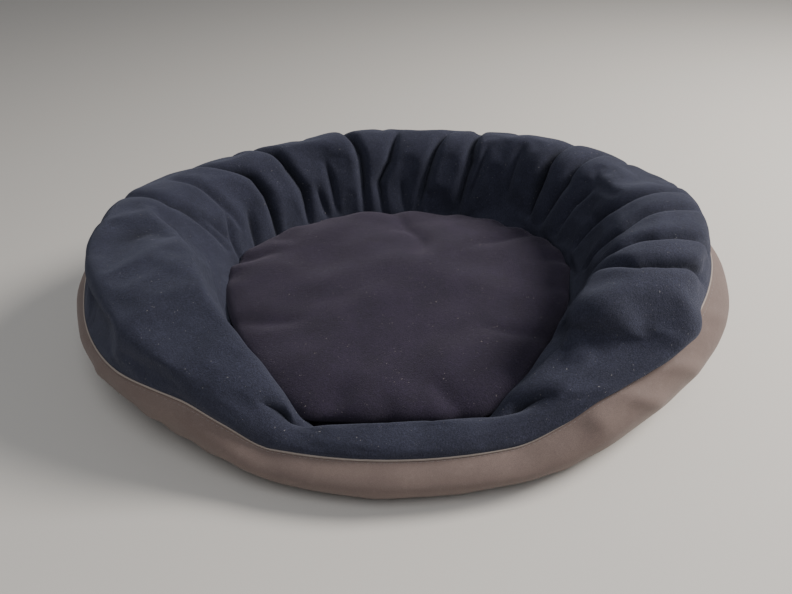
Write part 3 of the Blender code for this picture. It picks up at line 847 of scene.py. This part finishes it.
def lowest(values, across, down):
    # the lowest value near each point
    result = values.copy()
    for step in range(-across, across + 1):
        result = np.minimum(result, np.roll(values, step, axis=1))
    widened = result.copy()
    for step in range(1, down + 1):
        widened[step:] = np.minimum(widened[step:], result[:-step])
        widened[:-step] = np.minimum(widened[:-step], result[step:])
    return widened


def columnSpan(start, end, turns):
    # the columns from one turn to another, counted on past the front where they cross it
    first, last = (int(np.argmin(np.abs((np.degrees(turns) - degrees + 180) % 360 - 180)))
                   for degrees in (start, end))
    return (first if first < last else first - len(turns)), last + 1


def makeStuffing():
    turns = wallTurns(wall["finalColumns"])
    normals = rowNormals(wallBaseFine)
    sunk = lowest(((wallRows - wallBaseFine) * normals).sum(axis=2), *stuffing["besideFold"])
    sunk = np.minimum(sunk, 0) - stuffing["underCover"] * mm
    inner = wallBaseFine + normals * sunk[..., None]
    lastRow = wall["finalRows"] - stuffing["lastRow"]
    keep = np.linspace(stuffing["firstRow"], lastRow, stuffing["rows"]).astype(int)
    columns = np.linspace(0, wall["finalColumns"], stuffing["columns"], endpoint=False).astype(int)
    inner, around = inner[keep][:, columns], turns[columns]
    seam, foot = seamOutline(around), hollowOutline(around)
    behind = outsetBy(seam, -stuffing["behindFoam"] * mm)
    seamZ = throughStations(wall["seamHeight"], around)
    floorZ = np.full(len(around), stuffing["offFloor"] * mm)
    corner = standing(outsetBy(foot, stuffing["outsideFoot"] * mm), floorZ)
    low, high = standing(behind, floorZ), standing(behind, seamZ - stuffing["underSeam"] * mm)
    fibre = np.concatenate([inner, [corner, low, high]])
    # the foam strips stand between the outer band and the fibre
    shares = np.linspace(*stuffing["foamShares"])
    outside = bandSurface(around, shares, stuffing["foamUnderBand"])
    inside = bandSurface(around, shares[::-1], stuffing["foamUnderBand"] + stuffing["foamThickness"])
    foam = np.concatenate([outside, inside])
    half, gap = stuffing["sillHalfTurn"], stuffing["gapTurn"]
    spans = {"wall": (half + gap, 360 - half - gap), "sill": (360 - half, half)}
    for part, (start, end) in spans.items():
        piece = lofted(part + "LooseFibre", fibre, *columnSpan(start, end, around))
        settle(piece, "bed", "fibre", fibreFillFinish, part + "_filling")
    for part, (start, end) in stuffing["foamTurns"].items():
        piece = lofted(part + "FoamStrip", foam, *columnSpan(start, end, around))
        settle(piece, "bed", "foam", foamBlockFinish, part + "_foam")


# The outer band: suede-like cloth from the rim down and in under the bed

band = {
    "rings": [((0.323, 0.250, 0.246), 1.0, 1.0), ((0.343, 0.264, 0.264), 0.83, 0.81),
              ((0.350, 0.270, 0.270), 0.60, 0.58), ((0.331, 0.263, 0.259), 0.19, 0.25),
              ((0.306, 0.250, 0.246), 0.010, 0.022)],
    "pushShares": (1.0, 0.45, 0.12, 0, 0),
    "tuck": [(0, -1), (30, -1), (48, -5), (70, 0), (280, 0), (300, -8), (317, -15), (333, -10), (348, -3)],
    "tuckShares": (0, 0.3, 0.8, 1.0, 1.0),
    "lowSeam": 0.047, "highSeam": 0.113, "foamClear": 4, "floorClear": 0.6, "gather": (0.015, 0.035),
    "stillAtRim": 0.10, "stillAtFoot": 0.12, "looseAtFoot": 0.25,
    "creaseWidth": 0.0065, "creaseDepth": 0.75, "uneven": ((0.7, 0.09, 21), (0.25, 0.035, 22)),
    "columns": 380, "rows": 26, "finalColumns": 640, "finalRows": 44, "cloth": 1.6,
}
bandFolds = [
    (7, [(36, 0.10), (39, 0.24), (43, 0.38)]), (7, [(45, 0.08), (49, 0.22), (53, 0.36)]),
    (4, [(30, 0.08), (31, 0.25)]), (4, [(60, 0.02), (66, 0.30)]),
    (4, [(324, 0.22), (319, 0.42), (313, 0.55)]), (4, [(328, 0.40), (323, 0.58), (318, 0.66)]),
    (3, [(331, 0.62), (326, 0.76)]), (4, [(308, 0.05), (304, 0.30)]),
    (4, [(357, 0.80), (356, 1.0)]), (3, [(10, 0.78), (12, 1.0)]), (3, [(343, 0.76), (341, 1.0)]),
    (3, [(26, 0.70), (30, 0.98)]), (3, [(72, 0.72), (76, 1.0)]), (4, [(94, 0.65), (97, 1.0)]),
    (3, [(121, 0.75), (124, 1.0)]), (4, [(148, 0.70), (145, 1.0)]), (3, [(171, 0.72), (173, 1.0)]),
    (4, [(196, 0.68), (194, 1.0)]), (3, [(219, 0.72), (222, 1.0)]), (4, [(246, 0.70), (244, 1.0)]),
    (3, [(272, 0.72), (274, 1.0)]), (4, [(296, 0.72), (292, 1.0)]),
    (3, [(160, 0.02), (161, 0.25)]), (3, [(206, 0.02), (204, 0.25)]), (3, [(112, 0.02), (111, 0.25)]),
    (3, [(256, 0.02), (257, 0.25)]), (3, [(184, 0.02), (184, 0.22)]), (3, [(136, 0.02), (137, 0.25)]),
]
bandSimulation = {"quality": 4, "mass": 0.25, "airDamping": 4, "stretch": 25, "shear": 10, "bending": 2.0,
                  "damping": 12, "pressure": 1.2, "frames": 18}


def bandBase(turns, count, inset=0.0):
    seamZ = throughStations(wall["seamHeight"], turns)
    high = smoothStep(band["lowSeam"], band["highSeam"], seamZ)
    push = throughStations(wall["seamPush"], turns) * mm
    tuck = throughStations(band["tuck"], turns) * mm
    rows = []
    for number, (ring, highShare, lowShare) in enumerate(band["rings"]):
        outwards = band["pushShares"][number] * push + band["tuckShares"][number] * tuck - inset
        plan = outsetBy(ovalOutline(turns, *ring), outwards)
        rows.append(standing(plan, seamZ * (lowShare + (highShare - lowShare) * high)))
    return smoothRows(np.array(rows), count)


def bandSurface(turns, shares, inset, fine=100):
    rows = bandBase(turns, fine + 1, inset * mm)[np.round(shares * fine).astype(int)]
    rows[..., 2] = np.maximum(rows[..., 2], band["foamClear"] * mm)
    return rows


def makeBand():
    turns = evenTurns(seamOutline, band["columns"])
    base = bandBase(turns, band["rows"])
    shares = np.linspace(0, 1, band["rows"])
    atRim, atFoot = band["gather"]
    extra = 1 + (atRim + atFoot * shares)[:, None] * np.ones(len(turns))
    edges = np.minimum(smoothStep(0, band["stillAtRim"], shares),
                       band["looseAtFoot"] + smoothStep(0, band["stillAtFoot"], 1 - shares))
    edges[-1] = 0
    dents = dented(base, turns, bandFolds, band["creaseWidth"]) * band["creaseDepth"]
    offsets = (uneven(base, *band["uneven"]) - dents) * edges[:, None]
    rows = pressedShape(band, base, offsets, flatCut(base, extra), bandSimulation, 2)
    rows[..., 2] = np.maximum(rows[..., 2], band["floorClear"] * mm)
    return base, rows


bandBaseRows, bandRows = makeBand()
outerBand = thicken(ringObject("outerSuedeBand", bandRows), band["cloth"] * mm)
settle(outerBand, "bed", "outer_fabric", suedeClothFinish, "outer_wall_cover")
makeStuffing()
print("outer band, foam and fibre are in")


# The floor of the bed: suede base cloth, a thin foam pad and the fleece liner under the cushion

floorParts = {"baseTop": 1.6, "baseThick": 1.4, "baseRing": (0.3038, 0.2478, 0.2438), "padLow": 2.4,
              "padHigh": 12.9, "padRound": 1.5, "linerTop": 15.3, "linerThick": 1.2, "linerInset": 0.0012,
              "linerSag": (0.25, 0.05, 31), "columns": 200, "rings": 14, "foamFill": 0.9}


def discRows(outline, height, rings):
    shares = 1 - np.linspace(0, 1, rings, endpoint=False) ** 1.1
    middle = outline.mean(axis=0)
    return np.array([standing(middle + (outline - middle) * share, height) for share in shares])


def makeFloor():
    turns = np.arange(floorParts["columns"]) / floorParts["columns"] * 2 * math.pi
    oval = outsetBy(ovalOutline(turns, *floorParts["baseRing"]), throughStations(band["tuck"], turns) * mm)
    rows = discRows(oval, floorParts["baseTop"] * mm, floorParts["rings"])
    baseCloth = ringObject("baseSuedeCloth", rows[:, ::-1], capped=True)
    thicken(turnedUp(baseCloth), floorParts["baseThick"] * mm)
    settle(baseCloth, "bed", "outer_fabric", suedeClothFinish, "bottom_panel")
    inside = hollowOutline(evenTurns(hollowOutline, floorParts["columns"]), floorParts["linerInset"])
    rows = discRows(inside, floorParts["linerTop"] * mm, floorParts["rings"])
    rows[..., 2] -= np.abs(uneven(rows, floorParts["linerSag"]))
    liner = ringObject("floorFleeceLiner", rows[:, ::-1], capped=True)
    thicken(turnedUp(liner), floorParts["linerThick"] * mm)
    settle(liner, "bed", "wall_fleece", wallFleeceFinish, "floor_liner")
    low, high, edge = (floorParts[name] * mm for name in ("padLow", "padHigh", "padRound"))
    middle = inside.mean(axis=0)
    pad = [standing(middle + (inside - middle) * share, height)
           for share, height in ((0.004, low), (0.5, low), (0.96, low), (0.99, low + edge),
                                 (0.99, high - edge), (0.96, high), (0.5, high), (0.004, high))]
    foamPad = lofted("basePadFoam", np.array(pad))
    settle(foamPad, "bed", "foam", foamBlockFinish, "base_pad_foam")
    return baseCloth, liner


def turnedUp(thing):
    # a flat cloth that faces up
    shape = bmesh.new()
    shape.from_mesh(thing.data)
    shape.faces.ensure_lookup_table()
    if sum(face.normal.z * face.calc_area() for face in shape.faces) < 0:
        bmesh.ops.reverse_faces(shape, faces=shape.faces)
    shape.to_mesh(thing.data)
    shape.free()
    return thing


baseCloth, floorLiner = makeFloor()
print("floor of the bed is laid")


# The loose cushion: a fleece case, drawn in along its edge seam, with a zip in the underside

cushion = {
    "inset": 0.008, "seam": 43.0, "crown": 70.5, "middle": (0.0, -0.01), "zipLine": -0.030,
    "section": [(0, 0), (-0.030, 0.20), (-0.034, 0.42), (-0.002, 0.62), (0.08, 0.78), (0.22, 0.90),
                (0.45, 0.975), (0.72, 1.0), (0.985, 1.0)],
    "columns": 300, "rows": 44, "finalColumns": 440, "finalRows": 84, "cloth": 1.6, "slack": 1.010,
    "creaseWidth": 0.012, "stillAtSeam": 0.06, "uneven": ((3.2, 0.16, 44), (1.2, 0.06, 45)),
    "calm": 0.35, "calmFor": (0.1, 0.35),
    "scallops": {"height": 1.2, "count": 23, "wander": 1.5, "wanders": 3, "share": 0.10, "width": 0.09},
    "case": {"cuts": 3, "depth": 0.9, "seeds": {"front": 51, "rear": 52}, "tight": 38.0,
             "offZip": (0.012, 0.030)},
    "fibre": {"cuts": 2, "depth": 1.5, "seed": 53, "scale": (0.97, 0.97, 0.80), "middle": (0, -0.02, 0.040),
              "fill": 0.55},
    # what the cloths are cut larger by: across, along, and their area
    "topCut": (0.035, 0.035, 1.16), "halfCut": (0.03, 0.025, 1.12),
}
cushionFolds = [
    (7, [(184, 0.06), (176, 0.42), (150, 0.75)]), (5, [(120, 0.10), (125, 0.50)]),
    (8, [(262, 0.02), (258, 0.16), (250, 0.28)]), (4, [(240, 0.05), (236, 0.25)]),
    (5, [(300, 0.08), (312, 0.40)]), (5, [(52, 0.08), (44, 0.38)]), (7, [(21, 0.02), (15, 0.24)]),
    (7, [(338, 0.02), (343, 0.22)]), (3, [(214, 0.04), (212, 0.18)]), (3, [(160, 0.04), (162, 0.16)]),
    (3, [(92, 0.04), (95, 0.20)]), (3, [(276, 0.04), (280, 0.16)]), (2, [(0, 0.04), (1, 0.14)]),
    (3, [(136, 0.04), (134, 0.16)]), (3, [(72, 0.05), (70, 0.18)]),
]
cushionSimulation = {"quality": 4, "mass": 0.25, "airDamping": 4, "stretch": 25, "shear": 10, "bending": 2.5,
                     "damping": 12, "pressure": 0.5, "frames": 16}


def cushionBase(turns):
    edge, middle = hollowOutline(turns, cushion["inset"]), np.array(cushion["middle"])
    seam, crown = cushion["seam"] * mm, cushion["crown"] * mm
    rows = [standing(edge + (middle - edge) * share, seam + (crown - seam) * rise)
            for share, rise in cushion["section"]]
    return smoothRows(np.array(rows), cushion["rows"])


def makeCushionTop():
    turns = evenTurns(lambda at: hollowOutline(at, cushion["inset"]), cushion["columns"])
    base = cushionBase(turns)
    shares = np.linspace(0, 1, cushion["rows"])[:, None]
    # the rim of the cushion is calmer than its middle
    calm = cushion["calm"]
    loose = calm + (1 - calm) * smoothStep(*cushion["calmFor"], shares)
    slow = uneven(base * (1, 1, 0), *cushion["uneven"]) * loose
    wave = cushion["scallops"]
    along = turns * wave["count"] + wave["wander"] * np.sin(turns * wave["wanders"])
    scallops = wave["height"] * mm * np.sin(along) * bump(wave["share"], wave["width"], shares)
    dents = dented(base, turns, cushionFolds, cushion["creaseWidth"])
    offsets = (slow - dents + scallops) * smoothStep(0, cushion["stillAtSeam"], shares)
    return pressedShape(cushion, base, offsets, base * cushion["slack"], cushionSimulation, 2)


cushionRows = makeCushionTop()
cushionTop = thicken(ringObject("cushionFleeceTop", cushionRows, capped=True), cushion["cloth"] * mm)
settle(cushionTop, "cushion", "cushion_fleece", cushionFleeceFinish, "cushion_top_cover")


def softCopy(node, name, cuts, depth, seed, kept=None, scale=1.0, middle=(0, 0, 0), longest=0.010):
    # a finer copy of a CAD solid whose surface is drawn in unevenly, by at most depth millimetres
    shape = bmesh.new()
    shape.from_mesh(bpy.data.objects[node].data)
    bmesh.ops.remove_doubles(shape, verts=shape.verts, dist=weld)
    bmesh.ops.dissolve_limit(shape, angle_limit=math.radians(1), verts=shape.verts, edges=shape.edges)
    bmesh.ops.triangulate(shape, faces=shape.faces)
    for cut in range(cuts):
        long = [edge for edge in shape.edges if edge.calc_length() > longest]
        bmesh.ops.subdivide_edges(shape, edges=long, cuts=1, use_grid_fill=True)
        bmesh.ops.triangulate(shape, faces=shape.faces)
    bmesh.ops.recalc_face_normals(shape, faces=shape.faces)
    shape.normal_update()
    places = np.array([vertex.co for vertex in shape.verts])
    normals = np.array([vertex.normal for vertex in shape.verts])
    wave = np.clip(0.5 + 0.5 * unevenness(places, 0.035, seed), 0, 1)
    share = kept(places) if kept else np.ones(len(places))
    places = places - normals * (depth * mm * wave * share)[:, None]
    places = np.array(middle) + (places - np.array(middle)) * scale
    for vertex, place in zip(shape.verts, places):
        vertex.co = place
    thing = makeObject(name, [], [])
    shape.to_mesh(thing.data)
    shape.free()
    thing.data.shade_smooth()
    return thing


def awayFromSeams(places):
    # 0 at the edge seam and at the zip; 1 on the free cloth
    underSeam = smoothStep(cushion["seam"] * mm, cushion["case"]["tight"] * mm, places[:, 2])
    return underSeam * smoothStep(*cushion["case"]["offZip"], np.abs(places[:, 1] - cushion["zipLine"]))


def makeUnderside(side):
    case, node = cushion["case"], "cushion_bottom_cover_" + side
    half = softCopy(node, "cushionUnderside" + side.capitalize(), case["cuts"], case["depth"],
                    case["seeds"][side], awayFromSeams)
    return settle(half, "cushion", "cushion_fleece", cushionFleeceFinish, node)


def makeCushionFibre():
    fibre = cushion["fibre"]
    piece = softCopy("cushion_filling", "cushionLooseFibre", fibre["cuts"], fibre["depth"], fibre["seed"],
                     scale=np.array(fibre["scale"]), middle=fibre["middle"])
    settle(piece, "cushion", "fibre", fibreFillFinish, "cushion_filling")


cushionFront, cushionRear = makeUnderside("front"), makeUnderside("rear")
makeCushionFibre()
print("cushion is filled")


# What repeats along a seam is set out by Geometry Nodes

def nodeGroup(name, inputs):
    group = bpy.data.node_groups.new(name, "GeometryNodeTree")
    kinds = {label: "NodeSocketMaterial" if isinstance(value, bpy.types.Material) else "NodeSocketFloat"
             for label, value in inputs.items()}
    for label, kind in {"Geometry": "NodeSocketGeometry", **kinds}.items():
        group.interface.new_socket(label, in_out="INPUT", socket_type=kind)
    group.interface.new_socket("Geometry", in_out="OUTPUT", socket_type="NodeSocketGeometry")
    return group, group.nodes.new("NodeGroupInput").outputs, group.nodes.new("NodeGroupOutput")


def step(group, kind, inputs, settings={}):
    # one node of the group, by its first output
    return addNode(group, "GeometryNode" + kind, settings, inputs).outputs[0]


pieceSizes = {"least": 0.94, "most": 1.06, "seed": 7}


def setOut(name, points, cyclic, buildPiece, inputs, body, slotName):
    # copies of one small piece along a line, each turned along it and a little different in size
    count = len(points)
    edges = [(at, (at + 1) % count) for at in range(count if cyclic else count - 1)]
    thing = makeObject(name, points, [], edges)
    group, given, result = nodeGroup(name, inputs)
    line = step(group, "MeshToCurve", {"Mesh": given["Geometry"]})
    line = step(group, "ResampleCurve", {"Curve": line, "Length": given["Spacing"]}, {"mode": "LENGTH"})
    spots = addNode(group, "GeometryNodeCurveToPoints", {"mode": "EVALUATED"}, {"Curve": line}).outputs
    piece = buildPiece(group, given)
    drift = addNode(group, "FunctionNodeRandomValue", {"data_type": "FLOAT"}, {"Seed": pieceSizes["seed"]})
    sockets = [socket for socket in drift.inputs if socket.type == "VALUE"]
    sockets[0].default_value, sockets[1].default_value = pieceSizes["least"], pieceSizes["most"]
    size = [socket for socket in drift.outputs if socket.type == "VALUE"][0]
    pieces = step(group, "InstanceOnPoints", {
        "Points": spots["Points"], "Instance": piece, "Rotation": spots["Rotation"], "Scale": size})
    pieces = step(group, "RealizeInstances", {"Geometry": pieces})
    pieces = step(group, "SetMaterial", {"Geometry": pieces, "Material": given["Finish"]})
    pieces = step(group, "SetShadeSmooth", {"Geometry": pieces})
    group.links.new(pieces, result.inputs["Geometry"])
    work = thing.modifiers.new("set out", "NODES")
    work.node_group = group
    for socket in group.interface.items_tree:
        if socket.item_type == "SOCKET" and socket.in_out == "INPUT" and socket.name in inputs:
            work[socket.identifier] = inputs[socket.name]
    plainMesh(thing)
    return settle(thing, body, slotName, inputs["Finish"])


def combined(group, **parts):
    return addNode(group, "ShaderNodeCombineXYZ", {}, parts).outputs[0]


def stitchPiece(group, given):
    # one stitch: a short rounded thread, its ends dipped into the cloth
    def times(length, factor):
        return addNode(group, "ShaderNodeMath", {"operation": "MULTIPLY"}, {0: length, 1: factor}).outputs[0]

    half = times(given["Stitch length"], 0.5)
    back = times(half, -1.0)
    sunk, proud = times(given["Thread radius"], -0.8), times(given["Thread radius"], 1.8)
    arc = step(group, "CurveQuadraticBezier", {
        "Resolution": 6, "Start": combined(group, X=sunk, Z=back), "Middle": combined(group, X=proud),
        "End": combined(group, X=sunk, Z=half)})
    thread = step(group, "CurvePrimitiveCircle", {"Resolution": 6, "Radius": given["Thread radius"]})
    return step(group, "CurveToMesh", {"Curve": arc, "Profile Curve": thread, "Fill Caps": True})


def loopPiece(group, given):
    # one turn of a nylon coil: a flattened ring of wire across the tape's edge
    ring = step(group, "CurvePrimitiveCircle", {"Resolution": 10, "Radius": 1.0})
    wide = combined(group, X=given["Half height"], Y=given["Half width"], Z=1.0)
    oval = step(group, "Transform", {"Geometry": ring, "Scale": wide})
    wire = step(group, "CurvePrimitiveCircle", {"Resolution": 6, "Radius": given["Wire radius"]})
    return step(group, "CurveToMesh", {"Curve": oval, "Profile Curve": wire})


def tubePath(name, points, radius, sides, finish, body, slotName, *nodes):
    # a round cord along a closed line
    ahead = np.roll(points, -1, axis=0) - np.roll(points, 1, axis=0)
    ahead /= np.linalg.norm(ahead, axis=1, keepdims=True)
    side = np.cross(ahead, (0, 0, 1.0))
    side /= np.linalg.norm(side, axis=1, keepdims=True)
    up = np.cross(side, ahead)
    rows = [points + radius * (math.cos(angle) * side + math.sin(angle) * up)
            for angle in np.arange(sides) / sides * 2 * math.pi]
    tube = turnedOutwards(ringObject(name, np.array(rows), closed=True))
    return settle(tube, body, slotName, finish, *nodes)


trim = {
    "pipingRadius": 1.0, "pipingOut": 1.6, "pipingSides": 10, "stitchOut": 0.1,
    # each row of stitches: its share of the way down the band, and the stitches' own sizes
    "stitches": {"rim": (0.055, {"Spacing": 0.0048, "Stitch length": 0.0034, "Thread radius": 0.00028}),
                 "hem": (0.945, {"Spacing": 0.0060, "Stitch length": 0.0042, "Thread radius": 0.00030})},
}


def lineOn(rows, share, out):
    # a line round the bed at a share of the way down the rows, out millimetres off the cloth
    at = share * (len(rows) - 1)
    row = min(int(at), len(rows) - 2)
    return (rows[row] * (1 - at + row) + rows[row + 1] * (at - row)
            + rowNormals(rows)[min(row + 1, len(rows) - 1)] * out * mm)


def makeTrim():
    outwards = wallRows[0] * (1, 1, 0)
    outwards /= np.linalg.norm(outwards, axis=1, keepdims=True)
    tubePath("rimPiping", wallRows[0] + outwards * trim["pipingOut"] * mm, trim["pipingRadius"] * mm,
             trim["pipingSides"], pipingFinish, "bed", "seam_piping", "rim_seam_piping")
    for edge, (share, sizes) in trim["stitches"].items():
        setOut(edge + "Stitches", lineOn(bandRows, share, trim["stitchOut"]), True, stitchPiece,
               {**sizes, "Finish": seamThreadFinish}, "bed", "seam_piping")


makeTrim()
print("piping and stitches are on")


# The zip: woven tapes, nylon coils set out turn by turn, and plated metal parts kept from the CAD

zipSizes = {
    "coilPitch": 0.00105, "wire": 0.00030, "coilPoints": 60, "coilEnd": 0.6, "tapeCut": 0.012,
    "tapeWave": 0.12, "waves": (310, 500), "tapePoints": (160, 9), "tapeDown": 0.05, "tapeThin": 0.2,
}


def makeTape(side):
    low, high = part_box("zip_tape_" + side)
    along, across = zipSizes["tapePoints"]
    waveAlong, waveAcross = zipSizes["waves"]
    top = high[2] - zipSizes["tapeDown"] * mm
    height = zipSizes["tapeWave"] * mm
    points = [(x, y, top + height * math.sin(x * waveAlong) * math.sin(y * waveAcross))
              for y in np.linspace(low[1], high[1], across) for x in np.linspace(low[0], high[0], along)]
    faces = [(at, at + 1, at + along + 1, at + along)
             for row in range(across - 1) for at in range(row * along, (row + 1) * along - 1)]
    tape = makeObject("zipTape" + side.capitalize(), points, faces)
    thicken(turnedUp(tape), high[2] - low[2] - zipSizes["tapeThin"] * mm)
    settle(tape, "cushion", "zip_textile", tapeFinish, "zip_tape_" + side)


def makeCoil(side):
    low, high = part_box("zip_coil_" + side)
    wire, end = zipSizes["wire"], zipSizes["coilEnd"] * mm
    line = [(x, (low[1] + high[1]) / 2, (low[2] + high[2]) / 2)
            for x in np.linspace(low[0] + end, high[0] - end, zipSizes["coilPoints"])]
    coil = setOut("zipCoil" + side.capitalize(), line, False, loopPiece, {
        "Spacing": zipSizes["coilPitch"], "Half height": (high[2] - low[2]) / 2 - wire,
        "Half width": (high[1] - low[1]) / 2 - wire, "Wire radius": wire,
        "Finish": nylonCoilFinish}, "cushion", "zip_textile")
    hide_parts("zip_coil_" + side)


def makeZip():
    for side in ("front", "rear"):
        makeTape(side)
        makeCoil(side)
    for node in ("zip_end_stop_closed", "zip_end_stop_open", "zip_slider", "zip_pull"):
        kept = bpy.data.objects[node]
        kept.data.materials.clear()
        kept.data.materials.append(zincFinish)


makeZip()
print("zip is fitted")


# The longest rows of the wall and band surfaces and the outlines of the floor and cushion cloths, worked out
# and not kept


def longestRow(rows):
    return float(np.linalg.norm(np.roll(rows, -1, axis=1) - rows, axis=2).sum(axis=1).max())


def declareCloths():
    longestRow(wallBaseRows)
    longestRow(bandBaseRows)
    turns = np.linspace(0, 2 * math.pi, 361)[:-1]
    ovalOutline(turns, *floorParts["baseRing"])
    hollowOutline(turns)
    edge = hollowOutline(turns, cushion["inset"])


declareCloths()
